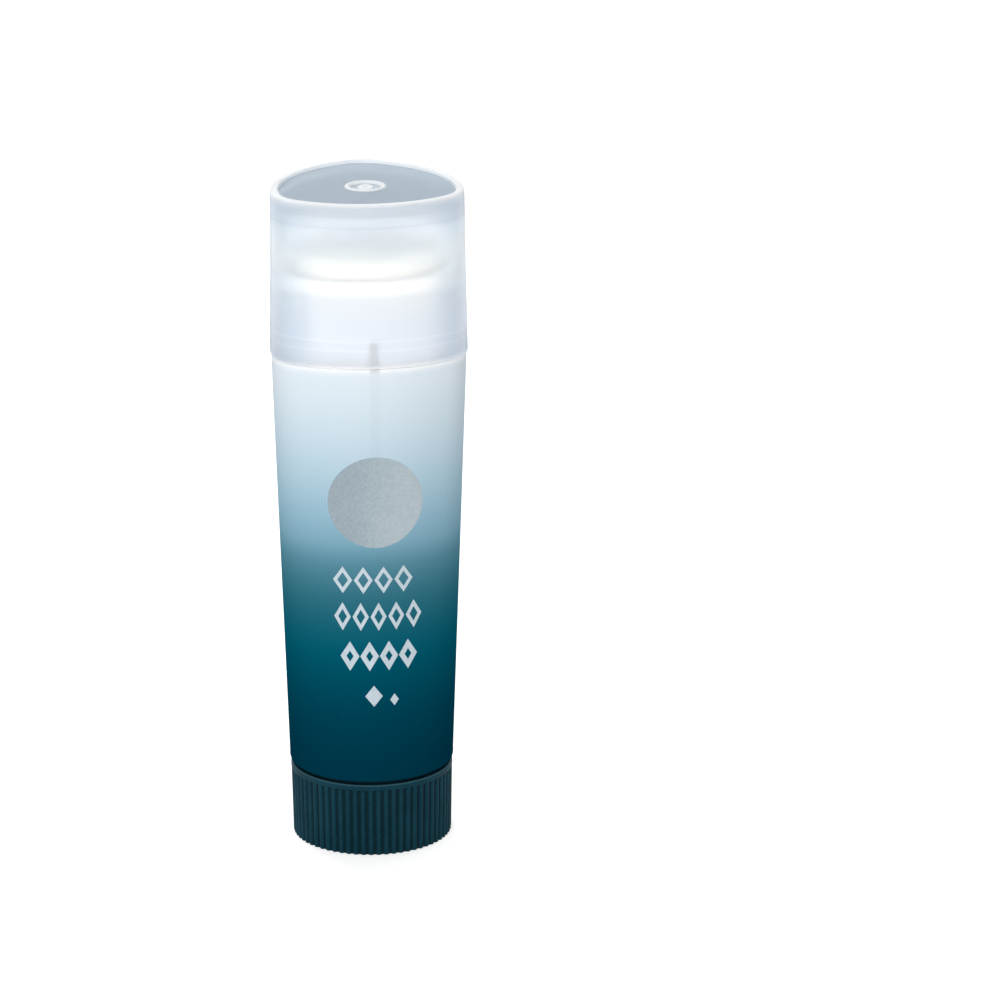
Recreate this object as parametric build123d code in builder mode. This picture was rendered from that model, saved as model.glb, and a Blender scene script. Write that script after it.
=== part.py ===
from build123d import *
import math
import os

# A twist-up glue stick: a ribbed round knob turns a screw spindle, the spindle lifts a carrier
# with the glue, and a pull-off cap covers the neck. The barrel changes from a round foot to a
# rounded triangle at its shoulder. Z points up, the origin is the middle of the knob's underside,
# one flat side of the triangle faces -Y, and all sizes are millimetres.

os.makedirs("parts", exist_ok=True)

# The round bore sets the size of everything around it and in it
bore_radius = 9.5

# Rounded triangle, shared by the shoulder, the neck and the cap
side_count = 3
corner_centre = 6.9
crown_centre = 5.0
neck_wall = 0.78
shoulder_step = 1.07

# Knob
knob_height = 9.4
knob_rim_inset = 0.13
knob_rim_overhang = 0.31
knob_draft = 0.17
knob_rim_band = 0.7
knob_rim_rounding = 0.25
knob_foot_rounding = 0.2
knob_foot_steps = 2
knob_floor = 1.6
knob_foot_width = 2.0
knob_foot_recess = 0.5
knob_foot_edge = 0.3
grip_rib_count = 64
grip_rib_sides = 8
grip_rib_radius = 0.32
grip_rib_rise_share = 0.9
hub_wall = 1.95
hub_height = 6.0
web_count = 6
web_thickness = 0.9
web_height = 4.2

# Snap collar between the knob and the barrel
collar_height = 4.6
collar_wall = 0.98
collar_lead = 0.5
snap_height = 1.7
snap_bead = 0.3
snap_bead_height = 0.9
knob_gap = 0.45
turning_clearance = 0.12

# Barrel
barrel_length = 54.0
barrel_foot_wall = 0.83
barrel_foot_rounding = 0.8
barrel_foot_steps = 4
barrel_foot_band = 1.2
shoulder_bevel = 0.45
neck_height = 10.7
neck_lip_bevel = 0.4
bead_height = 3.2
bead_length = 1.4
guide_rib_width = 1.2
guide_rib_rise = 0.6
guide_rib_top = 3.25
guide_rib_start = 1.0

# Cap
cap_headroom = 9.85
cap_overhang = 0.18
cap_skirt_taper = 0.21
cap_crown_taper = 0.11
cap_wall = 0.95
cap_lead_in = 3.45
cap_lead_step = 0.1
cap_ceiling = 1.5
cap_upper_wall = 1.15
cap_seat_gap = 0.05
cap_step_gap = 0.4
cap_waist_rise = 0.35
cap_rim_width = 1.2
cap_recess = 0.45
cap_rim_rounding = 0.5
cap_rim_steps = 3
snap_clearance = 0.06
gate_radius = 2.5
gate_depth = 0.3
gate_ring = 0.55
gate_pip_radius = 0.55
gate_pip_height = 0.22

# Spindle
spindle_radius = 3.0
spindle_free_travel = 7.8
spindle_tip_bevel = 0.8
spindle_flange_overhang = 0.4
spindle_flange = 1.1
shank_sides = 6
shank_flats = 5.2
shank_clearance = 0.05

# Carrier
carrier_floor = 1.2
carrier_wall = 1.0
carrier_cup = 4.5
carrier_clearance = 0.12
nut_clearance = 0.1
nut_length = 6.0
nut_wall = 1.9
skirt_length = 5.2
skirt_wall = 0.9
slot_clearance = 0.15
carrier_retreat = 7.0

# Glue
glue_length = 31.0
glue_stand_out = 2.25
glue_clearance = 0.1
glue_edge_width = 1.1
glue_edge_drop = 1.8
glue_edge_bulge = 0.3
glue_core_clearance = 0.3
glue_core_crown = 4.8
glue_foot_clearance = 0.05

# One overrun for all cuts
overrun = 1.0

# Directions of the triangle's corners and of its flat sides, in degrees
half_side_angle = 180.0 / side_count
front_side_direction = -90.0
corner_directions = [front_side_direction + half_side_angle * turn for turn in (1, 3, 5)]


def corner_half_span():
    """Half of the angle that a corner arc turns through, in degrees."""
    across = corner_centre * math.sin(math.radians(half_side_angle))
    along = crown_centre + corner_centre * math.cos(math.radians(half_side_angle))
    return half_side_angle - math.degrees(math.atan2(across, along))


def side_radius(corner_radius):
    """Radius of the arc that bows out each flat side and meets the corner arcs smoothly."""
    across = corner_centre * math.sin(math.radians(half_side_angle))
    along = crown_centre + corner_centre * math.cos(math.radians(half_side_angle))
    return math.hypot(across, along) + corner_radius


class RoundedTriangle(BaseSketchObject):
    """A rounded triangle: three corner arcs joined by three gently bowed side arcs."""

    def __init__(self, corner_radius, mode=Mode.ADD):
        span = corner_half_span()
        side_span = half_side_angle - span
        with BuildSketch() as outline:
            with BuildLine():
                for direction in corner_directions:
                    turn = math.radians(direction)
                    middle = (corner_centre * math.cos(turn), corner_centre * math.sin(turn))
                    CenterArc(middle, corner_radius, direction - span, 2 * span)
                    facing = direction + half_side_angle
                    away = math.radians(facing)
                    bow_middle = (-crown_centre * math.cos(away), -crown_centre * math.sin(away))
                    bow_radius = side_radius(corner_radius)
                    CenterArc(bow_middle, bow_radius, facing - side_span, 2 * side_span)
            make_face()
        super().__init__(outline.sketch, mode=mode)


class SixArcCircle(BaseSketchObject):
    """A circle drawn as six arcs that match a rounded triangle's, so that the two loft cleanly."""

    def __init__(self, radius, mode=Mode.ADD):
        span = corner_half_span()
        with BuildSketch() as outline:
            with BuildLine():
                for direction in corner_directions:
                    CenterArc((0, 0), radius, direction - span, 2 * span)
                    CenterArc((0, 0), radius, direction + span, 2 * (half_side_angle - span))
            make_face()
        super().__init__(outline.sketch, mode=mode)


def rounded_edge(radius, height, rounding, steps):
    """Points along a quarter round that turns in steps from a flat face up into a wall."""
    turns = [math.pi / 2 * step / steps for step in range(steps + 1)]
    inner = radius - rounding
    middle = height + rounding
    return [(inner + rounding * math.sin(t), middle - rounding * math.cos(t)) for t in turns]


def triangle_band(low, low_radius, high, high_radius, mode=Mode.ADD):
    """Loft straight between two rounded triangles at two heights."""
    with BuildSketch(Plane.XY.offset(low)) as low_outline:
        RoundedTriangle(low_radius)
    with BuildSketch(Plane.XY.offset(high)) as high_outline:
        RoundedTriangle(high_radius)
    loft([low_outline.sketch, high_outline.sketch], ruled=True, mode=mode)


# Heights that follow from the sizes above, from the desk up
rim_band_bottom = knob_height - knob_rim_band
floor_top = knob_foot_recess + knob_floor
barrel_bottom = knob_height + knob_gap
snap_middle = barrel_bottom + snap_height
collar_top = knob_height + collar_height
shoulder = barrel_bottom + barrel_length
neck_top = shoulder + neck_height
glue_top = neck_top + glue_stand_out
glue_bottom = glue_top - glue_length
glue_core_top = glue_top - glue_core_crown
spindle_top = glue_core_top - spindle_free_travel
carrier_floor_height = glue_bottom - carrier_floor
cap_mouth = shoulder + cap_seat_gap
step_height = neck_top + cap_step_gap
waist_height = step_height + cap_waist_rise
cap_top = neck_top + cap_headroom
ceiling = cap_top - cap_recess - cap_ceiling

# Radii of the round pieces, from the bore out and in
barrel_foot_radius = bore_radius + barrel_foot_wall
knob_rim_radius = barrel_foot_radius - knob_rim_inset
knob_root_radius = knob_rim_radius - knob_rim_overhang
knob_foot_radius = knob_root_radius - knob_draft
collar_radius = bore_radius - turning_clearance
knob_inner_radius = collar_radius - collar_wall
carrier_radius = bore_radius - carrier_clearance
glue_radius = bore_radius - glue_clearance
hub_radius = shank_flats / 2 + shank_clearance + hub_wall
spindle_flange_radius = hub_radius + spindle_flange_overhang
nut_radius = spindle_radius + nut_clearance + nut_wall

# Corner radii of the rounded triangles, each set by where its flat sides lie
flat_side_reach = side_radius(0) - crown_centre
neck_corner_radius = bore_radius + neck_wall - flat_side_reach
shoulder_corner_radius = neck_corner_radius + shoulder_step
cap_mouth_corner_radius = shoulder_corner_radius + cap_overhang
cap_waist_corner_radius = cap_mouth_corner_radius - cap_skirt_taper
cap_top_corner_radius = cap_waist_corner_radius - cap_crown_taper


def cap_outer_radius(height):
    """Corner radius of the cap's outside at a height."""
    if height <= waist_height:
        share = (height - cap_mouth) / (waist_height - cap_mouth)
        return cap_mouth_corner_radius - cap_skirt_taper * share
    share = (height - waist_height) / (cap_top - waist_height)
    return cap_waist_corner_radius - cap_crown_taper * share


# Knob: a cup with a ribbed grip outside, a snap collar above its rim, and a webbed hub inside
with BuildPart() as knob:
    with BuildSketch(Plane.XZ):
        with BuildLine():
            Polyline(
                (0, knob_foot_recess),
                (knob_foot_radius - knob_foot_rounding - knob_foot_width, knob_foot_recess),
                (knob_foot_radius - knob_foot_rounding - knob_foot_width + knob_foot_edge, 0),
                *rounded_edge(knob_foot_radius, 0, knob_foot_rounding, knob_foot_steps),
                (knob_root_radius, rim_band_bottom),
                (knob_rim_radius, rim_band_bottom),
                (knob_rim_radius, knob_height - knob_rim_rounding),
                (knob_rim_radius - knob_rim_rounding, knob_height),
                (collar_radius, knob_height),
                (collar_radius, snap_middle - snap_bead_height / 2),
                (collar_radius + snap_bead, snap_middle),
                (collar_radius, snap_middle + snap_bead_height / 2),
                (collar_radius, collar_top - collar_lead),
                (collar_radius - collar_lead / 2, collar_top),
                (knob_inner_radius, collar_top),
                (knob_inner_radius, floor_top),
                (0, floor_top),
                (0, knob_foot_recess),
            )
        make_face()
    revolve(axis=Axis.Z)
    # Grip ribs lean with the draft of the wall and run out under the smooth rim band
    rib_draft = math.degrees(math.atan2(knob_root_radius - knob_foot_radius, rim_band_bottom))
    rib_inset = grip_rib_radius * (1 - grip_rib_rise_share)
    grip_plane = Plane(
        origin=(knob_foot_radius - rib_inset, 0, knob_foot_rounding),
        x_dir=(0, 1, 0),
        z_dir=(math.sin(math.radians(rib_draft)), 0, math.cos(math.radians(rib_draft))),
    )
    with BuildPart(mode=Mode.PRIVATE) as grip_rib:
        with BuildSketch(grip_plane):
            RegularPolygon(grip_rib_radius, grip_rib_sides)
        extrude(amount=rim_band_bottom - knob_foot_rounding + knob_rim_band / 2)
    with PolarLocations(0, grip_rib_count):
        add(grip_rib.part)
    # Hub with a six-sided socket, and webs out to the wall
    with BuildSketch(Plane.XY.offset(floor_top)):
        Circle(hub_radius)
    extrude(amount=hub_height)
    with BuildSketch(Plane.XY.offset(floor_top)):
        with PolarLocations(0, web_count):
            web_reach = knob_inner_radius + collar_wall / 2
            Rectangle(web_reach, web_thickness, align=(Align.MIN, Align.CENTER))
    extrude(amount=web_height)
    with BuildSketch(Plane.XY.offset(floor_top)):
        RegularPolygon(shank_flats / 2 + shank_clearance, shank_sides, major_radius=False)
    extrude(amount=hub_height + overrun, mode=Mode.SUBTRACT)
knob.part.label = "knob"
export_step(knob.part, "parts/knob.step")

# Spindle: a six-sided shank in the hub, a flange on the hub and a long round rod above
shank_bottom = floor_top + shank_clearance
flange_bottom = floor_top + hub_height + shank_clearance
with BuildPart() as spindle:
    with BuildSketch(Plane.XY.offset(shank_bottom)):
        RegularPolygon(shank_flats / 2, shank_sides, major_radius=False)
    extrude(amount=flange_bottom - shank_bottom)
    with BuildSketch(Plane.XY.offset(flange_bottom)):
        Circle(spindle_flange_radius)
    extrude(amount=spindle_flange)
    with BuildSketch(Plane.XY.offset(flange_bottom + spindle_flange)):
        Circle(spindle_radius)
    extrude(amount=spindle_top - flange_bottom - spindle_flange)
    chamfer(spindle.edges().group_by(Axis.Z)[-1], spindle_tip_bevel)
spindle.part.label = "spindle"
export_step(spindle.part, "parts/spindle.step")

# Barrel: round foot, tapering sides that turn into a rounded triangle, shoulder, neck and bore
bead_middle = shoulder + bead_height
bead_radius = cap_outer_radius(bead_middle) - cap_wall - snap_clearance
with BuildPart() as barrel:
    with BuildSketch(Plane.XZ):
        with BuildLine():
            Polyline(
                (0, barrel_bottom),
                *rounded_edge(
                    barrel_foot_radius, barrel_bottom, barrel_foot_rounding, barrel_foot_steps
                ),
                (barrel_foot_radius, barrel_bottom + barrel_foot_band),
                (0, barrel_bottom + barrel_foot_band),
                (0, barrel_bottom),
            )
        make_face()
    revolve(axis=Axis.Z)
    with BuildSketch(Plane.XY.offset(barrel_bottom + barrel_foot_band)):
        SixArcCircle(barrel_foot_radius)
    with BuildSketch(Plane.XY.offset(shoulder - shoulder_bevel)):
        RoundedTriangle(shoulder_corner_radius)
    loft(ruled=True)
    triangle_band(
        shoulder - shoulder_bevel,
        shoulder_corner_radius,
        shoulder,
        shoulder_corner_radius - shoulder_bevel,
    )
    triangle_band(shoulder, neck_corner_radius, neck_top - neck_lip_bevel, neck_corner_radius)
    triangle_band(
        neck_top - neck_lip_bevel, neck_corner_radius, neck_top, neck_corner_radius - neck_lip_bevel
    )
    # Bead round the neck that holds the cap
    triangle_band(bead_middle - bead_length / 2, neck_corner_radius, bead_middle, bead_radius)
    triangle_band(bead_middle, bead_radius, bead_middle + bead_length / 2, neck_corner_radius)
    # Bore with a groove for the knob's snap bead
    with BuildSketch(Plane.XY.offset(barrel_bottom - overrun)):
        Circle(bore_radius)
    extrude(amount=barrel_length + neck_height + 2 * overrun, mode=Mode.SUBTRACT)
    groove_reach = snap_bead_height / 2 + turning_clearance
    with BuildSketch(Plane.XZ):
        with BuildLine():
            Polyline(
                (bore_radius - overrun, snap_middle - groove_reach),
                (bore_radius, snap_middle - groove_reach),
                (bore_radius + snap_bead, snap_middle),
                (bore_radius, snap_middle + groove_reach),
                (bore_radius - overrun, snap_middle + groove_reach),
                (bore_radius - overrun, snap_middle - groove_reach),
            )
        make_face()
    revolve(axis=Axis.Z, mode=Mode.SUBTRACT)
    # Guide ribs that keep the carrier from turning, one in the middle of each flat side
    guide_bottom = collar_top + guide_rib_start
    guide_top = shoulder + guide_rib_top
    with BuildSketch(Plane.XY.offset(guide_bottom)):
        with PolarLocations(bore_radius, side_count, start_angle=front_side_direction):
            Rectangle(2 * guide_rib_rise, guide_rib_width)
    extrude(amount=guide_top - guide_bottom)
barrel.part.label = "barrel"
export_step(barrel.part, "parts/barrel.step")

# Carrier: a cup for the foot of the glue, a nut boss on the spindle and a guide skirt below
slot_depth = guide_rib_rise + slot_clearance - carrier_clearance
with BuildPart() as carrier:
    with BuildSketch(Plane.XY.offset(carrier_floor_height - skirt_length)):
        Circle(carrier_radius)
    extrude(amount=skirt_length + carrier_floor + carrier_cup)
    with BuildSketch(Plane.XY.offset(glue_bottom)):
        Circle(carrier_radius - carrier_wall)
    extrude(amount=carrier_cup + overrun, mode=Mode.SUBTRACT)
    with BuildSketch(Plane.XY.offset(carrier_floor_height)):
        Circle(carrier_radius - skirt_wall)
    extrude(amount=-(skirt_length + overrun), mode=Mode.SUBTRACT)
    with BuildSketch(Plane.XY.offset(carrier_floor_height)):
        Circle(nut_radius)
    extrude(amount=-nut_length)
    with BuildSketch(Plane.XY.offset(carrier_floor_height)):
        with PolarLocations(0, side_count, start_angle=front_side_direction + half_side_angle):
            Rectangle(carrier_radius - skirt_wall / 2, web_thickness, align=(Align.MIN, Align.CENTER))
    extrude(amount=-skirt_length)
    with BuildSketch(Plane.XY.offset(glue_bottom + overrun)):
        Circle(spindle_radius + nut_clearance)
    extrude(amount=-(nut_length + carrier_floor + 2 * overrun), mode=Mode.SUBTRACT)
    # Slots that ride on the barrel's guide ribs
    with BuildSketch(Plane.XY.offset(carrier_floor_height - skirt_length - overrun)):
        with PolarLocations(carrier_radius, side_count, start_angle=front_side_direction):
            Rectangle(2 * slot_depth, guide_rib_width + 2 * slot_clearance)
    extrude(amount=skirt_length + carrier_floor + carrier_cup + 2 * overrun, mode=Mode.SUBTRACT)
carrier.part.label = "carrier"
export_step(carrier.part, "parts/carrier.step")

# Glue: a cast column, stepped into the carrier's cup, with a rounded top edge and rib grooves
cup_rim = glue_bottom + carrier_cup
edge_bottom = glue_top - glue_edge_drop
foot_radius = carrier_radius - carrier_wall - glue_foot_clearance
edge_bow = glue_edge_bulge / math.sqrt(2)
with BuildPart() as glue:
    with BuildSketch(Plane.XZ):
        with BuildLine():
            Polyline(
                (0, glue_bottom),
                (foot_radius, glue_bottom),
                (foot_radius, cup_rim + glue_foot_clearance),
                (glue_radius, cup_rim + glue_foot_clearance),
                (glue_radius, edge_bottom),
            )
            ThreePointArc(
                (glue_radius, edge_bottom),
                (
                    glue_radius - glue_edge_width / 2 + edge_bow,
                    glue_top - glue_edge_drop / 2 + edge_bow,
                ),
                (glue_radius - glue_edge_width, glue_top),
            )
            Polyline((glue_radius - glue_edge_width, glue_top), (0, glue_top), (0, glue_bottom))
        make_face()
    revolve(axis=Axis.Z)
    with BuildSketch(Plane.XY.offset(glue_bottom - overrun)):
        Circle(spindle_radius + glue_core_clearance)
    extrude(amount=glue_core_top - glue_bottom + overrun, mode=Mode.SUBTRACT)
    # Grooves that clear the guide ribs when the glue is wound right down
    with BuildSketch(Plane.XY.offset(cup_rim)):
        groove_depth = guide_rib_rise + slot_clearance - glue_clearance
        with PolarLocations(glue_radius, side_count, start_angle=front_side_direction):
            Rectangle(2 * groove_depth, guide_rib_width + 2 * slot_clearance)
    extrude(
        amount=guide_top + carrier_retreat + slot_clearance - cup_rim, mode=Mode.SUBTRACT
    )
glue.part.label = "glue"
export_step(glue.part, "parts/glue.step")

# Cap: a thin rounded-triangle cup with a recessed end panel and a gate mark in its middle
with BuildPart() as cap:
    triangle_band(cap_mouth, cap_mouth_corner_radius, waist_height, cap_waist_corner_radius)
    rim_start = cap_top - cap_rim_rounding
    rim_corner_radius = cap_outer_radius(rim_start)
    triangle_band(waist_height, cap_waist_corner_radius, rim_start, rim_corner_radius)
    # The rim turns over in steps
    edge = [
        (radius, cap_top - height)
        for radius, height in rounded_edge(rim_corner_radius, 0, cap_rim_rounding, cap_rim_steps)
    ]
    for (high_radius, high), (low_radius, low) in zip(edge, edge[1:]):
        triangle_band(low, low_radius, high, high_radius)
    # Recessed end panel inside the rim
    with BuildSketch(Plane.XY.offset(cap_top - cap_recess)):
        RoundedTriangle(cap_top_corner_radius - cap_rim_width)
    extrude(amount=cap_recess + overrun, mode=Mode.SUBTRACT)
    # Inside: a lead-in at the mouth, a part that hugs the neck, and a narrower part above it
    lead_top = cap_mouth + cap_lead_in
    triangle_band(
        cap_mouth,
        cap_mouth_corner_radius - cap_wall + cap_lead_step,
        lead_top,
        cap_outer_radius(lead_top) - cap_wall + cap_lead_step,
        mode=Mode.SUBTRACT,
    )
    triangle_band(
        lead_top,
        cap_outer_radius(lead_top) - cap_wall,
        step_height,
        cap_outer_radius(step_height) - cap_wall,
        mode=Mode.SUBTRACT,
    )
    triangle_band(
        step_height,
        cap_outer_radius(step_height) - cap_upper_wall,
        ceiling,
        cap_outer_radius(ceiling) - cap_upper_wall,
        mode=Mode.SUBTRACT,
    )
    # Gate mark: a shallow dish with a small pip in its middle
    panel = cap_top - cap_recess
    with BuildSketch(Plane.XZ):
        with BuildLine():
            Polyline(
                (0, panel + overrun),
                (0, panel - gate_depth + gate_pip_height),
                (gate_pip_radius, panel - gate_depth),
                (gate_radius - gate_ring, panel - gate_depth),
                (gate_radius, panel),
                (gate_radius, panel + overrun),
                (0, panel + overrun),
            )
        make_face()
    revolve(axis=Axis.Z, mode=Mode.SUBTRACT)
cap.part.label = "cap"
export_step(cap.part, "parts/cap.step")
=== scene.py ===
# %% [markdown]
# # A twist-up glue stick
# A small glue stick stands on its ribbed base. You turn the base, a screw spindle inside pushes
# the glue up, and a frosted pull-off cap keeps it from drying. The barrel is round at its foot
# and swells into a rounded triangle at its shoulder.
#
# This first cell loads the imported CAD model. It fixes where everything is, in metres, with the
# origin in the middle of the underside and +Z up. The size of the CAD model is kept for later.

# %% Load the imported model
import math
import bpy
import bmesh
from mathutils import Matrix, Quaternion, Vector
from mathutils.bvhtree import BVHTree


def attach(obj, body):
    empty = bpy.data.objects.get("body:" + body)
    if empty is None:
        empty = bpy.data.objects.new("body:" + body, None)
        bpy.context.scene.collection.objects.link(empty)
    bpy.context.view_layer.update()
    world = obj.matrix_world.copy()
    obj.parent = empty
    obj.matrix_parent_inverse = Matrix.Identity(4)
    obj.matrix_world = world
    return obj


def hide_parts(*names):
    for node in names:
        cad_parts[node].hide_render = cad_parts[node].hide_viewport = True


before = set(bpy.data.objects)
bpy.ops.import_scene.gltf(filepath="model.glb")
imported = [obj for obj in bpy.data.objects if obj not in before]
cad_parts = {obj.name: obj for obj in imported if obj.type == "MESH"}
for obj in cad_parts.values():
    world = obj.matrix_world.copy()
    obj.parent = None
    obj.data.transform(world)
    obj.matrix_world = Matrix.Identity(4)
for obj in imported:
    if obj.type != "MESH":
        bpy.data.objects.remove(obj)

scene = bpy.context.scene
scene.view_settings.view_transform = "Standard"
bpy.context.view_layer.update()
MM = 0.001


# %% [markdown]
# ## The camera
# The photograph was taken from a little above and a little to the left, through a long lens.
# A camera could be placed by eye, but here it was fitted to the outlines of the cap, the barrel
# and the base, because the place of every mark of the print depends on it. The stick stands left
# of the middle of the picture, so the camera is turned a little aside. Its lens isn't shifted, so
# that other views stay centred.

# %% Place the camera
AZIMUTH, ELEVATION, ROLL = math.radians(-4.5), math.radians(17.8), math.radians(0.64)
DISTANCE = 658.5 * MM
AIM_POINT = Vector((0, 0, 42.2 * MM))
AIM_PIXEL = (368.9, 509.5)
FOCAL_PIXELS, PICTURE, SENSOR_WIDTH = 5272, 1000, 36
CLIP_START, CLIP_END = 0.01, 20


def place_camera():
    back = Vector((
        math.sin(AZIMUTH) * math.cos(ELEVATION),
        -math.cos(AZIMUTH) * math.cos(ELEVATION),
        math.sin(ELEVATION),
    ))
    straight = (-back).to_track_quat("-Z", "Y")
    aside = Vector((
        (AIM_PIXEL[0] - PICTURE / 2) / FOCAL_PIXELS,
        (PICTURE / 2 - AIM_PIXEL[1]) / FOCAL_PIXELS,
        -1,
    ))
    turn_aside = Vector((0, 0, -1)).rotation_difference(aside)
    data = bpy.data.cameras.new("photo_camera")
    data.sensor_width = SENSOR_WIDTH
    data.lens = FOCAL_PIXELS / PICTURE * SENSOR_WIDTH
    data.clip_start, data.clip_end = CLIP_START, CLIP_END
    camera = bpy.data.objects.new("photo_camera", data)
    camera.rotation_mode = "QUATERNION"
    camera.rotation_quaternion = straight @ turn_aside.inverted() @ Quaternion((0, 0, 1), -ROLL)
    camera.location = AIM_POINT + back * DISTANCE
    scene.collection.objects.link(camera)
    scene.camera = camera
    return camera


camera = place_camera()
camera_place = [round(value, 3) for value in camera.location]
print("camera at", camera_place, "lens", round(camera.data.lens, 1))

# %% [markdown]
# ## Colours and node helpers
# Colours are easiest to write as they look on a screen, from 0 to 255. Blender mixes light in
# linear values, so one small helper turns the first into the second. The other helpers add nodes
# and join them, so that each material below reads as a short recipe.

# %% Helpers for colours and nodes
NOISE_LOW, NOISE_HIGH = 0.3, 0.7


def screen(red, green, blue):
    """A colour as it looks on a screen, turned into the linear values that Blender mixes."""
    def straighten(value):
        value = value / 255
        return value / 12.92 if value <= 0.04045 else ((value + 0.055) / 1.055) ** 2.4
    return (straighten(red), straighten(green), straighten(blue), 1)


def new_finish(name):
    """A material with its one shader, ready for a recipe."""
    finish = bpy.data.materials.new(name)
    finish.use_nodes = True
    return finish, finish.node_tree, finish.node_tree.nodes["Principled BSDF"]


def node(tree, kind, inputs=(), **settings):
    """Add a node, set what it does, and join or set its inputs in order."""
    made = tree.nodes.new(kind)
    for name, value in settings.items():
        setattr(made, name, value)
    for socket, value in zip(made.inputs, inputs):
        if isinstance(value, bpy.types.NodeSocket):
            tree.links.new(value, socket)
        elif value is not None:
            socket.default_value = value
    return made


def maths(tree, operation, *values, clamp=False):
    return node(tree, "ShaderNodeMath", values, operation=operation, use_clamp=clamp).outputs[0]


def product(tree, first, *others):
    """Multiply values one after the other."""
    for other in others:
        first = maths(tree, "MULTIPLY", first, other)
    return first


def total(tree, first, *others):
    """Add values one after the other."""
    for other in others:
        first = maths(tree, "ADD", first, other)
    return first


def distance(tree, first, second):
    """How far a point is from zero, from its place along two directions."""
    squares = [maths(tree, "POWER", value, 2) for value in (first, second)]
    return maths(tree, "SQRT", total(tree, *squares))


def fade(tree, value, start, end, low=0.0, high=1.0):
    """Run smoothly from low to high as a value goes from start to end."""
    inputs = (value, start, end, low, high)
    return node(tree, "ShaderNodeMapRange", inputs, interpolation_type="SMOOTHSTEP").outputs[0]


def noise(tree, spot, scale, detail, roughness):
    """Soft random specks, the finer the larger their scale."""
    inputs = (spot, None, scale, detail, roughness)
    return node(tree, "ShaderNodeTexNoise", inputs).outputs[0]


def place_on_stick(tree):
    """The place of a surface point on the stick itself, as x, y and z in millimetres."""
    spot = node(tree, "ShaderNodeTexCoord").outputs["Object"]
    parts = node(tree, "ShaderNodeSeparateXYZ", (spot,)).outputs
    return spot, [maths(tree, "DIVIDE", part, MM) for part in parts]


def blend_colours(tree, share, first, second, kind="MIX"):
    mix = node(tree, "ShaderNodeMix", data_type="RGBA", blend_type=kind)
    for socket, value in ((0, share), (6, first), (7, second)):
        if isinstance(value, bpy.types.NodeSocket):
            tree.links.new(value, mix.inputs[socket])
        else:
            mix.inputs[socket].default_value = value
    return mix.outputs[2]


def dim(tree, colour, share):
    """A colour at a share of its brightness."""
    tone = node(tree, "ShaderNodeCombineColor", (share, share, share)).outputs[0]
    return blend_colours(tree, 1.0, colour, tone, "MULTIPLY")


def colour_run(tree, value, stops):
    """A run of colour along a value, from a list of (value, colour)."""
    low, high = stops[0][0], stops[-1][0]
    share = maths(tree, "DIVIDE", maths(tree, "SUBTRACT", value, low), high - low)
    ramp = node(tree, "ShaderNodeValToRGB", (share,))
    elements = ramp.color_ramp.elements
    while len(elements) < len(stops):
        elements.new(0.5)
    for element, (place, colour) in zip(elements, stops):
        element.position = (place - low) / (high - low)
        element.color = screen(*colour)
    return ramp


def vary_roughness(tree, shader, specks, low, high):
    rough = fade(tree, specks, NOISE_LOW, NOISE_HIGH, low, high)
    tree.links.new(rough, shader.inputs["Roughness"])


def add_bump(tree, shader, height, strength, depth):
    bump = node(tree, "ShaderNodeBump", (strength, depth, None, height)).outputs[0]
    tree.links.new(bump, shader.inputs["Normal"])


print("colour helper: mid grey is", round(screen(188, 188, 188)[0], 3))

# %% [markdown]
# ## Skins of the stick
# Every outside surface of this stick is a circle, a rounded triangle, or something between the
# two. The rounded triangle is three corner arcs and three bowed side arcs. Moving such an outline
# in or out keeps its arc centres, so a point on any ring is `share * centre + radius * normal`:
# share 0 gives a circle, share 1 the triangle. A list of such rings, from one edge round to the
# other, makes a whole moulding with quads that follow its form. A lathe or a subdivided cylinder
# could not do this, because the outline changes on the way up.

# %% Helpers for skins
CORNER_CENTRE, CROWN_CENTRE = 6.9, 5.0
CORNER_DIRECTIONS = (90, 210, 330)
CORNER_TO_SIDE = 60


def heading(degrees):
    """A flat arrow of length one, turned from +X."""
    turn = math.radians(degrees)
    return Vector((math.cos(turn), math.sin(turn)))


def triangle_ring(corner_steps=14, side_steps=20):
    """Arc centre and normal of each point round the rounded triangle, corner to +Y."""
    across = CORNER_CENTRE * math.sin(math.radians(CORNER_TO_SIDE))
    along = CROWN_CENTRE + CORNER_CENTRE * math.cos(math.radians(CORNER_TO_SIDE))
    side_span = math.degrees(math.atan2(across, along))
    corner_span = CORNER_TO_SIDE - side_span
    reach = math.hypot(across, along)
    ring = []
    for corner in CORNER_DIRECTIONS:
        centre = heading(corner) * CORNER_CENTRE
        for step in range(corner_steps):
            ring.append((centre, heading(corner + corner_span * (2 * step / corner_steps - 1))))
        side = corner + CORNER_TO_SIDE
        centre = heading(side) * -CROWN_CENTRE
        for step in range(side_steps):
            normal = heading(side + side_span * (2 * step / side_steps - 1))
            ring.append((centre + normal * reach, normal))
    return ring


RING = triangle_ring()


def ring_points(share, radius, height):
    return [
        Vector((*(centre * share + normal * radius), height)) * MM
        for centre, normal in RING
    ]


def ease_corners(profile, steps=4):
    """Round each corner of a profile of (share, radius, height, rounding) over its rounding."""
    eased = []
    for index, (share, radius, height, rounding) in enumerate(profile):
        if not rounding or index in (0, len(profile) - 1):
            eased.append((share, radius, height))
            continue
        corner = Vector((radius, height))
        ends = []
        for other in (profile[index - 1], profile[index + 1]):
            arm = Vector(other[1:3]) - corner
            ends.append(corner + arm.normalized() * min(rounding, arm.length * 0.49))
        for step in range(steps + 1):
            t = step / steps
            spot = ends[0] * (1 - t) ** 2 + corner * 2 * t * (1 - t) + ends[1] * t ** 2
            eased.append((share, spot.x, spot.y))
    return eased


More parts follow.
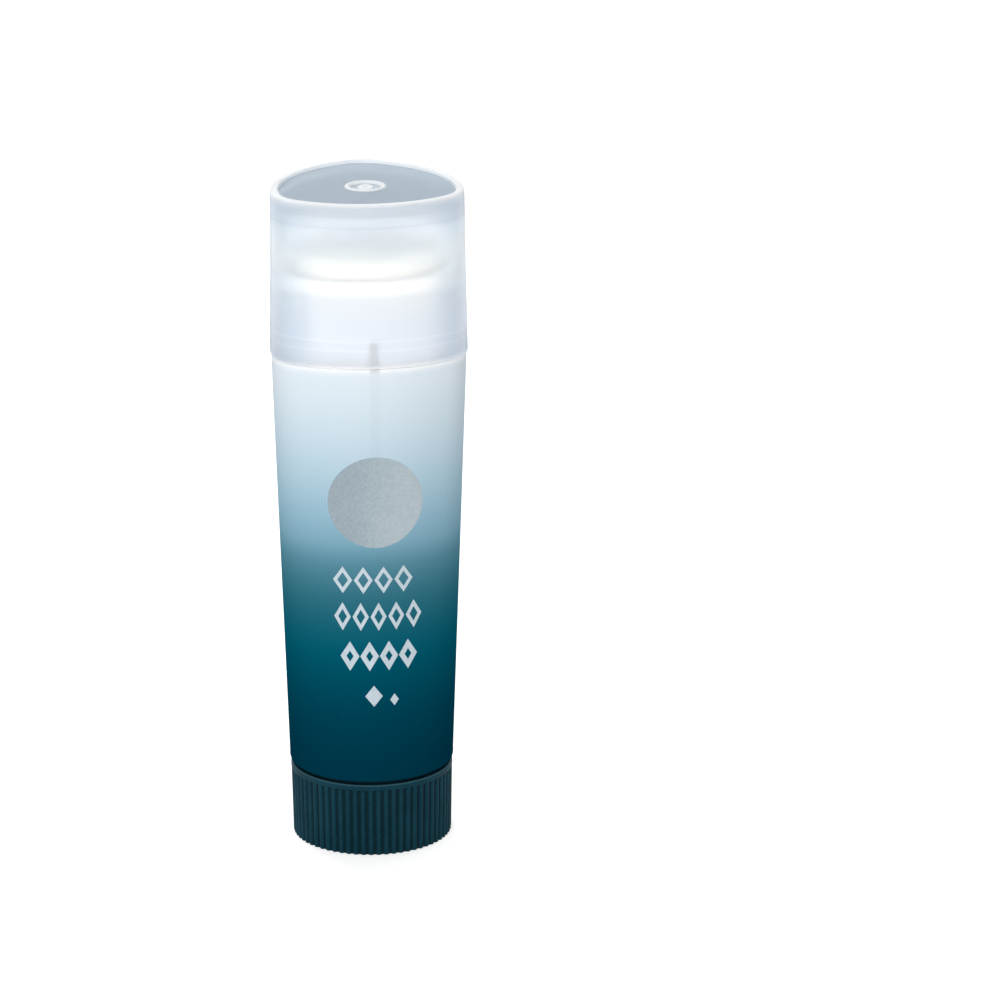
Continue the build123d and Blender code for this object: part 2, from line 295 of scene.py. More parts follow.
def new_piece(name, bm):
    """Make an object of the scene out of a mesh that was being built."""
    mesh = bpy.data.meshes.new(name)
    bm.to_mesh(mesh)
    bm.free()
    piece = bpy.data.objects.new(name, mesh)
    scene.collection.objects.link(piece)
    return piece


def skin(name, rows, loop=False, sharp=50):
    """Join rings of points into a skin of quads. With loop, the last ring joins the first."""
    bm = bmesh.new()
    rings = [[bm.verts.new(point) for point in row] for row in rows]
    pairs = zip(rings, rings[1:] + rings[:1]) if loop else zip(rings, rings[1:])
    for low, high in pairs:
        count = max(len(low), len(high))
        for i in range(count):
            j = (i + 1) % count
            corners = (
                low[i % len(low)], low[j % len(low)], high[j % len(high)], high[i % len(high)],
            )
            bm.faces.new(list(dict.fromkeys(corners)))
    bmesh.ops.recalc_face_normals(bm, faces=bm.faces)
    piece = new_piece(name, bm)
    piece.data.shade_smooth()
    piece.data.set_sharp_from_angle(angle=math.radians(sharp))
    print(f"{name}: {len(piece.data.polygons)} faces")
    return piece


def settle(piece, body, finish, replaces=()):
    """Give a piece its finish and its body, and hide the CAD parts that it replaces."""
    piece.data.materials.append(finish)
    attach(piece, body)
    for name in replaces:
        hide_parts(name)
    return piece


print("points round each ring:", len(RING))

# %% [markdown]
# ## The barrel
# The barrel is one thin moulding with a round bore all the way through. Outside it starts with a
# rounded foot, swells into the rounded triangle, turns over at the shoulder and goes on as a
# slimmer neck with a fine bead that holds the cap. A loft of two outlines would give the body;
# the rings do the same and carry on over the shoulder, so that its edge catches light as one
# soft line. Near the foot, a shallow groove in the bore takes the clip of the base.

# %% Barrel skin
BARREL_BOTTOM, SHOULDER, NECK_TOP = 9.85, 63.85, 74.55
FOOT_RADIUS, SHOULDER_RADIUS, NECK_RADIUS, BORE_RADIUS = 10.33, 6.0, 4.93, 9.5
BODY_START, BODY_END, BODY_STEPS = 11.05, 63.4, 26
BEAD_RADIUS, BEAD_BOTTOM, BEAD_TOP, BEAD_SLOPE = 5.11, 66.95, 67.15, 0.65
LIP_RADIUS, BORE_MIDDLE = 4.35, 40
CLIP_HEIGHT, GROOVE_HALF, CLIP_RISE = 11.55, 0.57, 0.3


def barrel_profile():
    foot = ease_corners([
        (0, BORE_RADIUS, CLIP_HEIGHT - GROOVE_HALF, 0),
        (0, BORE_RADIUS, BARREL_BOTTOM, 0.25),
        (0, FOOT_RADIUS, BARREL_BOTTOM, 0.9),
        (0, FOOT_RADIUS, BODY_START, 0),
    ], steps=6)
    body = []
    for step in range(1, BODY_STEPS + 1):
        share = step / BODY_STEPS
        radius = FOOT_RADIUS + (SHOULDER_RADIUS - FOOT_RADIUS) * share
        body.append((share, radius, BODY_START + (BODY_END - BODY_START) * share))
    # The first point only gives the shoulder's rounding its direction
    neck = ease_corners([
        (1, SHOULDER_RADIUS, BODY_END - 0.2, 0),
        (1, SHOULDER_RADIUS, SHOULDER, 0.5),
        (1, NECK_RADIUS, SHOULDER, 0.15),
        (1, NECK_RADIUS, BEAD_BOTTOM - BEAD_SLOPE, 0.2),
        (1, BEAD_RADIUS, BEAD_BOTTOM, 0.15),
        (1, BEAD_RADIUS, BEAD_TOP, 0.15),
        (1, NECK_RADIUS, BEAD_TOP + BEAD_SLOPE, 0.2),
        (1, NECK_RADIUS, NECK_TOP, 0.4),
        (1, LIP_RADIUS, NECK_TOP, 0),
    ])[1:]
    bore = [
        (0, BORE_RADIUS + 0.1, NECK_TOP),
        (0, BORE_RADIUS + 0.03, NECK_TOP - 0.03),
        (0, BORE_RADIUS, NECK_TOP - 0.1),
        (0, BORE_RADIUS, BORE_MIDDLE),
        (0, BORE_RADIUS, CLIP_HEIGHT + GROOVE_HALF),
        (0, BORE_RADIUS + CLIP_RISE, CLIP_HEIGHT),
    ]
    return foot + body + neck + bore


barrel_skin = skin("barrel_skin", [ring_points(*row) for row in barrel_profile()], loop=True)

# %% [markdown]
# ## The print on the barrel
# The barrel is milky plastic under a satin print that runs from almost nothing at the shoulder to
# deep teal at the foot. A colour ramp along the height gives the run of colour, with a painted
# highlight where the print stops on white plastic at the shoulder. Fine rings of the print screen
# spread round the disc, short slanting strokes of it lie near the foot, and each guide rib inside
# is marked on the pale part by a slightly darker band of painted shade. All of it follows the
# place on the stick, so it stays put in every view.

# %% Barrel finish
DISC_HEIGHT = 46.75
RING_PITCH, RING_DEPTH = 0.33, 0.05
STROKE_PITCH, STROKE_WANDER, STROKE_DEPTH = 0.7, 9.0, 0.09
GRAIN_DEPTH = 0.07
WALL_AT_RIBS = 11.3
TEAL_FADE_AND_SHOULDER_HIGHLIGHT = (
    (11.0, (0, 51, 69)),
    (18.3, (0, 62, 81)),
    (23.6, (0, 75, 95)),
    (28.9, (0, 92, 111)),
    (34.1, (43, 107, 124)),
    (38.6, (82, 136, 153)),
    (41.6, (125, 169, 189)),
    (47.2, (162, 196, 212)),
    (53.0, (194, 215, 228)),
    (59.0, (216, 230, 238)),
    (62.8, (224, 234, 242)),
    (63.3, (230, 240, 247)),
    # At the shoulder the print stops on white plastic, and this bright stop is also a painted
    # highlight along the edge
    (63.7, (253, 254, 255)),
    (66.0, (240, 244, 248)),
    (72.3, (240, 244, 247)),
    (73.2, (253, 253, 253)),
    (74.6, (253, 253, 253)),
)


def print_rings(tree, x, z, front):
    """Fine rings round the disc, as a wave from -1 to 1."""
    away = distance(tree, x, maths(tree, "SUBTRACT", z, DISC_HEIGHT))
    wave = maths(tree, "SINE", product(tree, away, 2 * math.pi / RING_PITCH))
    near = fade(tree, away, 14.0, 9.5)
    return product(tree, near, fade(tree, z, 57.0, 43.0, 0.25, 1.0), front, wave)


def print_strokes(tree, spot, x, z, front):
    """Short slanting strokes near the foot, as a wave from -1 to 1."""
    wander = noise(tree, spot, 1100.0, 2.0, 0.5)
    slant = product(tree, total(tree, x, z), 2 * math.pi / STROKE_PITCH)
    wave = maths(tree, "SINE", total(tree, slant, product(tree, wander, STROKE_WANDER)))
    band = product(tree, fade(tree, z, 16.5, 19.0), fade(tree, z, 22.0, 20.0))
    return product(tree, band, front, fade(tree, wander, 0.4, 0.6), wave)


def painted_rib_shade(tree, x, y, z):
    """How much painted shade each guide rib puts on the milky wall in front of it."""
    turn = maths(tree, "ARCTAN2", x, product(tree, y, -1))
    turn = maths(tree, "PINGPONG", turn, math.radians(CORNER_TO_SIDE))
    across = fade(tree, product(tree, turn, WALL_AT_RIBS), 0.85, 0.35)
    along = product(tree, fade(tree, z, 44, 56), fade(tree, z, 67.3, 66.7))
    return product(tree, across, along, fade(tree, z, 63.0, 64.0, 0.03, 0.3))


def printed_finish():
    finish, tree, shader = new_finish("barrel_print")
    spot, (x, y, z) = place_on_stick(tree)
    ramp = colour_run(tree, z, TEAL_FADE_AND_SHOULDER_HIGHLIGHT)
    ramp.color_ramp.interpolation = "B_SPLINE"
    front = fade(tree, y, -4.0, -8.0)
    grain = noise(tree, spot, 4200.0, 3.0, 0.6)
    light = total(
        tree,
        1.0,
        product(tree, print_rings(tree, x, z, front), RING_DEPTH),
        product(tree, print_strokes(tree, spot, x, z, front), STROKE_DEPTH),
        product(tree, maths(tree, "SUBTRACT", grain, 0.5), GRAIN_DEPTH),
        product(tree, painted_rib_shade(tree, x, y, z), -1),
    )
    tree.links.new(dim(tree, ramp.outputs[0], light), shader.inputs["Base Color"])
    add_bump(tree, shader, grain, 0.12, 0.02 * MM)
    shader.inputs["Roughness"].default_value = 0.55
    shader.inputs["Specular IOR Level"].default_value = 0.0
    return finish


barrel_print = printed_finish()
settle(barrel_skin, "barrel", barrel_print, ["barrel"])
print("barrel finish with", len(TEAL_FADE_AND_SHOULDER_HIGHLIGHT), "steps of colour")

# %% [markdown]
# ## Guide ribs in the bore
# Three slim ribs run down the bore and keep the carrier from turning with the screw. They are
# seen only when the glue is used up, so each is a plain bar with a sloped top that leads the
# carrier in.

# %% Guide ribs
RIB_DIRECTIONS, RIB_HALF_WIDTH = (-90, 30, 150), 0.6
# Distance from the axis and height of each corner of a rib
RIB_OUTLINE = ((9.6, 15.0), (8.95, 15.0), (8.9, 15.1), (8.9, 66.45), (9.5, 67.1), (9.6, 67.1))


def guide_ribs():
    bm = bmesh.new()
    for direction in RIB_DIRECTIONS:
        out = heading(direction)
        side = Vector((-out.y, out.x))
        walls = [
            [
                bm.verts.new(Vector((*(out * reach + side * half), height)) * MM)
                for reach, height in RIB_OUTLINE
            ]
            for half in (-RIB_HALF_WIDTH, RIB_HALF_WIDTH)
        ]
        bm.faces.new(walls[0])
        bm.faces.new(walls[1])
        for i in range(len(RIB_OUTLINE)):
            j = (i + 1) % len(RIB_OUTLINE)
            bm.faces.new((walls[0][i], walls[0][j], walls[1][j], walls[1][i]))
    bmesh.ops.recalc_face_normals(bm, faces=bm.faces)
    return new_piece("guide_ribs", bm)


settle(guide_ribs(), "barrel", barrel_print)
print("three guide ribs in the bore")

# %% [markdown]
# ## Silver print
# The front carries a plain silver disc with three chains of open diamonds and two full ones
# below it, stamped on as thin foil. The foil could be painted in the barrel's material, but as its
# own thin piece it has its own gloss and a fine bright edge. Each piece is drawn flat, then
# pressed onto the barrel by casting rays at the skin.

# %% Foil finish
def silver_finish():
    finish, tree, shader = new_finish("silver_foil")
    spot, (x, y, z) = place_on_stick(tree)
    grain = noise(tree, spot, 2600.0, 4.0, 0.65)
    patch = noise(tree, spot, 160.0, 2.0, 0.5)
    uneven = total(tree, product(tree, grain, 0.75), product(tree, patch, 0.25))
    share = fade(tree, uneven, NOISE_LOW, NOISE_HIGH)
    # Painted reflection: the foil is darker on the left and paler on the right
    across = fade(tree, x, -5.0, 5.0)
    dark = blend_colours(tree, across, screen(134, 149, 158), screen(159, 173, 180))
    pale = blend_colours(tree, across, screen(152, 166, 174), screen(177, 189, 195))
    disc = blend_colours(tree, share, dark, pale)
    marks = blend_colours(tree, share, screen(175, 190, 199), screen(193, 205, 213))
    above = fade(tree, z, DISC_HEIGHT - 7.5, DISC_HEIGHT - 7.0)
    tree.links.new(blend_colours(tree, above, marks, disc), shader.inputs["Base Color"])
    vary_roughness(tree, shader, uneven, 0.42, 0.56)
    shader.inputs["Metallic"].default_value = 0.35
    return finish


silver_foil = silver_finish()
print("silver finish for the foil")

# %% Foil pieces
FOIL_THICKNESS, FOIL_BITE = 0.03, 0.01
DISC_RADIUS = 5.85
# Count, pitch, middle x and z, width, height and stroke
CHAINS = {
    "foil_chain_first": (4, 2.5, -0.4, 36.7, 2.3, 3.5, 0.42),
    "foil_chain_second": (5, 2.2, 0.2, 31.9, 2.0, 3.7, 0.42),
    "foil_chain_bold": (4, 2.4, 0.25, 26.7, 2.3, 3.9, 0.62),
}
# Middle x and z, width and height
DIAMONDS = {
    "foil_diamond": (-0.45, 21.4, 2.2, 2.8),
    "foil_diamond_small": (2.1, 20.85, 1.1, 1.6),
}
barrel_tree = BVHTree.FromObject(barrel_skin, bpy.context.evaluated_depsgraph_get())


def on_barrel(x, z, lift):
    """The point of the front wall at x and z, lifted off it along its normal."""
    spot, normal, _, _ = barrel_tree.ray_cast(Vector((x, -20, z)) * MM, Vector((0, 1, 0)))
    return spot + normal * lift * MM


def foil(name, outline):
    """A thin sheet on the barrel: rings shrink from the outline to its middle."""
    middle = Vector((sum(p[0] for p in outline), sum(p[1] for p in outline))) / len(outline)
    rings = [(1.0, -FOIL_BITE), (1.0, FOIL_THICKNESS * 0.6)]
    rings += [(size, FOIL_THICKNESS) for size in (0.985, 0.8, 0.6, 0.4, 0.2)]
    rows = []
    for size, lift in rings:
        spots = [middle + (Vector(point) - middle) * size for point in outline]
        rows.append([on_barrel(spot.x, spot.y, lift) for spot in spots])
    rows.append([on_barrel(middle.x, middle.y, FOIL_THICKNESS)])
    return settle(skin(name, rows), "barrel", silver_foil)


def disc_outline(x, z, radius, points=96):
    turns = [2 * math.pi * step / points for step in range(points)]
    return [(x + radius * math.cos(turn), z + radius * math.sin(turn)) for turn in turns]


def diamond_outline(x, z, width, height, along=6):
    """A diamond as a ring of points."""
    tips = ((0, -0.5), (0.5, 0), (0, 0.5), (-0.5, 0))
    ring = []
    for (x1, z1), (x2, z2) in zip(tips, tips[1:] + tips[:1]):
        for step in range(along):
            t = step / along
            ring.append((
                x + width * (x1 * (1 - t) + x2 * t),
                z + height * (z1 * (1 - t) + z2 * t),
            ))
    return ring


def open_diamond(x, z, width, height, stroke):
    """The rings of a frame of foil, outer edge first, for a skin that closes on itself."""
    inner = 1 - 2 * stroke * math.hypot(1 / width, 1 / height)
    rings = ((1.0, -FOIL_BITE), (1.0, FOIL_THICKNESS), (inner, FOIL_THICKNESS), (inner, -FOIL_BITE))
    rows = []
    for size, lift in rings:
        outline = diamond_outline(x, z, width * size, height * size)
        rows.append([on_barrel(spot_x, spot_z, lift) for spot_x, spot_z in outline])
    return rows


def foil_chain(name, count, pitch, x, z, width, height, stroke):
    """A row of open diamonds as one piece."""
    bm = bmesh.new()
    for step in range(count):
        place = x + pitch * (step - (count - 1) / 2)
        link = skin(f"{name}_{step}", open_diamond(place, z, width, height, stroke), loop=True)
        bm.from_mesh(link.data)
        bpy.data.objects.remove(link)
    return settle(new_piece(name, bm), "barrel", silver_foil)


foil("foil_disc", disc_outline(0, DISC_HEIGHT, DISC_RADIUS))
for name, sizes in CHAINS.items():
    foil_chain(name, *sizes)
for name, sizes in DIAMONDS.items():
    foil(name, diamond_outline(*sizes))

# %% [markdown]
# ## The turning base
# The base is a dark cup with sixty-four half-round grip ribs, a smooth rim at the top and a ring
# foot below. Ribs could be set round it one by one, but then each would cut into the wall with a
# hard line. Here the wall is one skin whose radius rises and falls, so every rib flows into the
# wall as in a mould. A second skin makes the rim, the collar that clips into the barrel, the
# floor and the hub.

# %% Base skins
# A ring this small stands for a point on the axis
AXIS = 0.01
RIM_BOTTOM, RIM_TOP, RIM_RADIUS = 8.7, 9.4, 10.2
WALL_FOOT_RADIUS, WALL_TOP_RADIUS, RIB_COUNT = 9.72, 9.89, 64
COLLAR_RADIUS, COLLAR_INSIDE, COLLAR_TOP, CLIP_HALF = 9.38, 8.4, 14.0, 0.45
FOOT_RECESS, FLOOR_TOP, HUB_RADIUS, SOCKET_RADIUS, HUB_TOP = 0.5, 2.1, 4.6, 2.65, 8.1
# Place across one rib's pitch and rise over the wall
RIB_SHAPE = (
    (-0.5, 0.0), (-0.37, 0.0), (-0.32, 0.06), (-0.26, 0.17), (-0.14, 0.255), (0.0, 0.285),
    (0.14, 0.255), (0.26, 0.17), (0.32, 0.06), (0.37, 0.0),
)
# Radius, height and share of the ribs' rise of the rings underneath, then without the radius up
# the wall
GRIP_FOOT = ((9.3, 0.01, 0), (9.6, 0.01, 0.5))
GRIP_STEPS = ((0.03, 0.85), (0.1, 0.97), (0.2, 1), (2.5, 1), (5.0, 1), (8.0, 1), (8.75, 1))
# Radius, height and rounding of each corner of the core
CORE_PROFILE = (
    (AXIS, FOOT_RECESS, 0), (7.55, FOOT_RECESS, 0.1), (7.85, 0.0, 0.1), (9.5, 0.0, 0.1),
    (9.6, 0.6, 0.2), (9.75, 8.5, 0.05), (9.8, RIM_BOTTOM, 0.02),
    (RIM_RADIUS, RIM_BOTTOM, 0.08), (RIM_RADIUS, RIM_TOP, 0.22),
    (COLLAR_RADIUS, RIM_TOP, 0.1), (COLLAR_RADIUS, CLIP_HEIGHT - CLIP_HALF, 0.1),
    (COLLAR_RADIUS + CLIP_RISE, CLIP_HEIGHT, 0.15), (COLLAR_RADIUS, CLIP_HEIGHT + CLIP_HALF, 0.1),
    (COLLAR_RADIUS, COLLAR_TOP, 0.4), (COLLAR_INSIDE, COLLAR_TOP, 0.15),
    (COLLAR_INSIDE, FLOOR_TOP, 0.4), (HUB_RADIUS, FLOOR_TOP, 0.3), (HUB_RADIUS, HUB_TOP, 0.3),
    (SOCKET_RADIUS, HUB_TOP, 0.1), (SOCKET_RADIUS, FLOOR_TOP, 0.05), (AXIS, FLOOR_TOP, 0),
)


def round_point(radius, turn, height):
    return Vector((radius * math.cos(turn), radius * math.sin(turn), height)) * MM


def round_ring(radius, height, points=140):
    return [round_point(radius, 2 * math.pi * step / points, height) for step in range(points)]


def grip_ring(radius, height, rise):
    ring = []
    for rib in range(RIB_COUNT):
        for place, lift in RIB_SHAPE:
            turn = 2 * math.pi * (rib + place) / RIB_COUNT
            ring.append(round_point(radius + lift * rise, turn, height))
    return ring


def base_pieces():
    rows = [grip_ring(*step) for step in GRIP_FOOT]
    for height, rise in GRIP_STEPS:
        radius = WALL_FOOT_RADIUS + (WALL_TOP_RADIUS - WALL_FOOT_RADIUS) * height / RIM_BOTTOM
        rows.append(grip_ring(radius, height, rise))
    grip = skin("base_grip", rows, sharp=60)
    profile = ease_corners([(0, *corner) for corner in CORE_PROFILE], steps=3)
    rows = [round_ring(radius, height) for _, radius, height in profile]
    core = skin("base_core", rows, sharp=40)
    return grip, core


base_grip, base_core = base_pieces()

# %% Base finish
def base_finish():
    finish, tree, shader = new_finish("base_plastic")
    spot, (x, y, z) = place_on_stick(tree)
    fine = noise(tree, spot, 1800.0, 4.0, 0.6)
    broad = noise(tree, spot, 220.0, 3.0, 0.5)
    share = fade(tree, total(tree, product(tree, fine, 0.5), product(tree, broad, 0.5)), 0.35, 0.65)
    colour = blend_colours(tree, share, screen(8, 50, 62), screen(17, 60, 73))
    # Painted shade, darker in the grooves between the ribs
    away = distance(tree, x, y)
    wall = fade(tree, z, 0.0, RIM_BOTTOM, WALL_FOOT_RADIUS, WALL_TOP_RADIUS)
    groove_shade = fade(tree, maths(tree, "SUBTRACT", away, wall), 0.0, 0.16, 0.5, 1.0)
    colour = dim(tree, colour, groove_shade)
    # Painted highlight along the top edge of the rim
    high = fade(tree, z, RIM_TOP - 0.16, RIM_TOP - 0.04)
    edge = product(tree, high, fade(tree, away, 9.9, 10.05), 0.7)
    colour = blend_colours(tree, edge, colour, screen(70, 108, 120))
    tree.links.new(colour, shader.inputs["Base Color"])
    vary_roughness(tree, shader, fine, 0.5, 0.62)
    add_bump(tree, shader, fine, 0.25, 0.03 * MM)
    shader.inputs["Specular IOR Level"].default_value = 0.06
    return finish


base_plastic = base_finish()
settle(base_grip, "knob", base_plastic, ["knob"])
settle(base_core, "knob", base_plastic)
print("base with", RIB_COUNT, "ribs")

# %% [markdown]
# ## The screw spindle
# A screw stands in the hub of the base and passes up through the nut of the carrier. Its thread
# is left-handed with a lead of four millimetres, so that a turn to the left lifts the glue. A
# screw modifier could sweep the thread, but a skin whose radius follows the helix keeps the rod
# and its thread in one clean piece.

# %% Spindle skin
THREAD_LEAD, THREAD_RISE, THREAD_START, THREAD_END = 4.0, 0.6, 9.7, 63.4
ROOT_SHARE, FLANK_SHARE, RUN_IN = 0.2, 0.14, 1.5
ROD_RADIUS, ROD_COLUMNS, THREAD_STEPS = 2.4, 48, 215
# Radius and height of the rings of the shank and its flange, and of the tip
SHANK_RINGS = (
    (AXIS, 2.15), (2.55, 2.15), (2.6, 2.3), (2.6, 8.1), (2.6, 8.15), (4.9, 8.15), (5.0, 8.25),
    (5.0, 9.15), (4.9, 9.25), (3.0, 9.25), (ROD_RADIUS, 9.6),
)
TIP_RINGS = ((2.1, 64.0), (1.8, 64.2), (AXIS, 64.2))


def thread_ring(height):
    """A ring of the rod that bulges where the helix of the thread passes."""
    ends = max(0.0, min(1.0, (height - THREAD_START) / RUN_IN, THREAD_END - height))
    ring = []
    for column in range(ROD_COLUMNS):
        phase = (height / THREAD_LEAD + column / ROD_COLUMNS) % 1.0
        ridge = (0.5 - abs(phase - 0.5) - ROOT_SHARE) / FLANK_SHARE
        radius = ROD_RADIUS + THREAD_RISE * min(1.0, max(0.0, ridge)) * ends
        ring.append(round_point(radius, 2 * math.pi * column / ROD_COLUMNS, height))
    return ring


def spindle_rings():
    length = THREAD_END - THREAD_START
    heights = [THREAD_START + length * step / THREAD_STEPS for step in range(THREAD_STEPS + 1)]
    rows = [round_ring(radius, height, ROD_COLUMNS) for radius, height in SHANK_RINGS]
    rows += [thread_ring(height) for height in heights]
    return rows + [round_ring(radius, height, ROD_COLUMNS) for radius, height in TIP_RINGS]


spindle_skin = skin("spindle_skin", spindle_rings())

# %% [markdown]
# ## Plain inner plastic and the glue
# The spindle and the carrier are moulded in an off-white plastic with a satin surface. The glue
# is a cast white stick, waxy and a little see-through, so its finish lets light in under the
# surface. The carrier and the glue keep their CAD shapes, which are already right.

# %% Inner finishes
def inner_finish():
    finish, tree, shader = new_finish("inner_plastic")
    spot, _ = place_on_stick(tree)
    fine = noise(tree, spot, 900.0, 3.0, 0.5)
    colour = blend_colours(tree, fine, screen(232, 232, 228), screen(242, 242, 239))
    tree.links.new(colour, shader.inputs["Base Color"])
    vary_roughness(tree, shader, fine, 0.38, 0.5)
    return finish


def glue_finish():
    finish, tree, shader = new_finish("glue_wax")
    spot, _ = place_on_stick(tree)
    cloud = noise(tree, spot, 350.0, 4.0, 0.55)
    colour = blend_colours(tree, cloud, screen(250, 250, 246), screen(255, 255, 253))
    tree.links.new(colour, shader.inputs["Base Color"])
    vary_roughness(tree, shader, cloud, 0.35, 0.5)
    add_bump(tree, shader, cloud, 0.15, 0.05 * MM)
    shader.inputs["Subsurface Weight"].default_value = 0.3
    shader.inputs["Subsurface Radius"].default_value = (1.0, 0.95, 0.9)
    shader.inputs["Subsurface Scale"].default_value = 1.5 * MM
    return finish


inner_plastic, glue_wax = inner_finish(), glue_finish()
settle(spindle_skin, "knob", inner_plastic, ["spindle"])
for name, finish in (("carrier", inner_plastic), ("glue", glue_wax)):
    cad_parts[name].data.materials.clear()
    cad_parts[name].data.materials.append(finish)
print("carrier and glue keep their CAD shapes")

# %% [markdown]
# ## The frosted cap
# The cap is a thin cup of milky, frosted plastic. Its end panel is set a little below a bright
# rim, with a round gate mark in the middle where the mould was filled. Inside, it is wider over
# the neck and steps in above it. The walls are real, inside and out, because a frosted look comes
# from light that is spread at both faces; a single sheet would look like tinted film.

# %% Cap skin
CAP_MOUTH, CAP_WAIST, CAP_TOP, PANEL, CEILING = 63.9, 75.3, 84.4, 83.95, 82.45
MOUTH_RADIUS, WAIST_RADIUS, TOP_RADIUS, PANEL_RADIUS = 6.178, 5.97, 5.86, 4.82
MOUTH_INSIDE, LEAD_IN, NECK_STEP = 5.29, 67.35, 74.95


def cap_profile():
    outside = ease_corners([
        (1, MOUTH_INSIDE, 66.0, 0),
        (1, 5.33, CAP_MOUTH, 0.12),
        (1, MOUTH_RADIUS, CAP_MOUTH, 0.2),
        (1, WAIST_RADIUS, CAP_WAIST, 0.6),
        (1, TOP_RADIUS, CAP_TOP, 0.5),
        (1, PANEL_RADIUS, CAP_TOP, 0.2),
        (1, PANEL_RADIUS, PANEL, 0.12),
        (1, 4.4, PANEL, 0),
    ], steps=5)
    panel = [(0.5, 3.6, PANEL)]
    gate = ease_corners([
        (0, 2.7, PANEL, 0),
        (0, 2.52, PANEL, 0.06),
        (0, 2.45, PANEL + 0.18, 0.1),
        (0, 2.1, PANEL + 0.18, 0.1),
        (0, 1.9, PANEL - 0.3, 0.15),
        (0, 1.15, PANEL - 0.3, 0.15),
        (0, 0.9, PANEL + 0.05, 0.15),
        (0, 0.4, PANEL + 0.05, 0.12),
        (0, 0.3, PANEL - 0.2, 0.05),
        (0, AXIS, PANEL - 0.2, 0),
    ])
    inside = ease_corners([
        (0, AXIS, CEILING, 0),
        (0, 2.5, CEILING, 0),
        (1, 3.5, CEILING, 0),
        (1, 4.737, CEILING, 1.0),
        (1, 4.827, NECK_STEP, 0.1),
        (1, 5.027, NECK_STEP, 0.1),
        (1, 5.167, LEAD_IN, 0.02),
        (1, 5.267, LEAD_IN, 0.05),
        (1, MOUTH_INSIDE, 66.5, 0),
    ])
    return outside + panel + gate + inside


cap_skin = skin("cap_skin", [ring_points(*row) for row in cap_profile()], loop=True)

# %% [markdown]
# ## The finish of the cap
# The wall, the end panel and the gate mark differ in tint and in how clear they are. The end panel
# is painted darker, as shade from the hollow inside. Along the wall, painted highlights give a fine
# bright line at each step of the mould, a soft bright band over the top of the neck and bright
# edges at the mouth and the rim, and painted shade gives thin dark lines near the ceiling. Towards
# its corners the wall is painted a little darker and bluer, as shade.

# %% Cap finish
WALL_CLEARNESS, PANEL_CLEARNESS, GATE_CLEARNESS = 0.82, 0.7, 0.1
CORNER_SHADE_TINT = (0.875, 0.91, 0.94, 1)
# Height, half width and milkiness of the edges of mouth and rim
MILKY_EDGES = ((CAP_MOUTH, 0.4, 0.8), (CAP_TOP, 0.5, 0.6))
# The wall's pale tint, with painted highlights at the mouth, the mould steps, over the neck and at
# the rim, and painted shade lines near the ceiling
WALL_TINT_AND_PAINTED_LIGHT = (
    (63.9, (255, 255, 255)),
    (64.4, (239, 241, 244)),
    (66.0, (240, 242, 245)),
    (66.2, (252, 252, 253)),
    (66.4, (240, 242, 245)),
    (67.15, (241, 243, 246)),
    (67.35, (253, 253, 254)),
    (67.55, (241, 243, 246)),
    (72.6, (243, 244, 245)),
    (73.3, (250, 250, 250)),
    (74.0, (250, 250, 250)),
    (74.8, (248, 248, 248)),
    (75.0, (243, 245, 246)),
    (75.2, (251, 251, 250)),
    (77.4, (251, 251, 250)),
    (78.6, (247, 249, 249)),
    (80.7, (240, 243, 247)),
    (81.4, (230, 235, 241)),
    (81.55, (219, 226, 234)),
    (81.7, (231, 236, 242)),
    (82.8, (232, 238, 244)),
    (82.95, (227, 233, 240)),
    (83.1, (232, 238, 244)),
    (84.0, (236, 241, 247)),
    (84.3, (252, 254, 255)),
)
# The end panel is painted darker, as shade from the hollow inside the cap
PANEL_SHADE_STOPS = ((83.0, (173, 186, 197)), (84.4, (173, 186, 197)))
# The gate mark is paler on its raised top than in its dip
GATE_STOPS = (
    (83.0, (185, 197, 207)),
    (83.75, (200, 210, 219)),
    (83.9, (246, 249, 251)),
    (84.4, (246, 249, 251)),
)


def frosted_finish(name, stops, clearness):
    finish, tree, shader = new_finish(name)
    spot, (x, y, z) = place_on_stick(tree)
    # Painted shade: the wall turns a little darker and bluer towards its left and right corners
    corner = fade(tree, maths(tree, "ABSOLUTE", x), 6.0, 10.5)
    corner = product(tree, corner, fade(tree, z, 83.9, 83.5))
    shade = blend_colours(tree, corner, (1, 1, 1, 1), CORNER_SHADE_TINT)
    colour = blend_colours(tree, 1.0, colour_run(tree, z, stops).outputs[0], shade, "MULTIPLY")
    tree.links.new(colour, shader.inputs["Base Color"])
    vary_roughness(tree, shader, noise(tree, spot, 500.0, 3.0, 0.5), 0.5, 0.6)
    clear = fade(tree, z, 80.5, 82.5, clearness, clearness * 0.6)
    for height, width, milk in MILKY_EDGES:
        away = maths(tree, "ABSOLUTE", maths(tree, "SUBTRACT", z, height))
        clear = product(tree, clear, fade(tree, away, 0.0, width, 1 - milk, 1.0))
    tree.links.new(clear, shader.inputs["Transmission Weight"])
    shader.inputs["IOR"].default_value = 1.12
    shader.inputs["Coat Weight"].default_value = 0.1
    shader.inputs["Coat Roughness"].default_value = 0.4
    return finish


frosted_plastic = frosted_finish("frosted_plastic", WALL_TINT_AND_PAINTED_LIGHT, WALL_CLEARNESS)
settle(cap_skin, "cap", frosted_plastic, ["cap"])
cap_skin.data.materials.append(frosted_finish("end_plastic", PANEL_SHADE_STOPS, PANEL_CLEARNESS))
cap_skin.data.materials.append(frosted_finish("gate_plastic", GATE_STOPS, GATE_CLEARNESS))
for face in cap_skin.data.polygons:
    place = face.center / MM
    if place.z > PANEL - 0.5 and place.xy.length < 2.6:
        face.material_index = 2
    elif face.normal.z > 0.7 and PANEL - 0.1 < place.z < PANEL + 0.1:
        face.material_index = 1
print("cap finish with", len(cap_skin.data.materials), "kinds of frost")

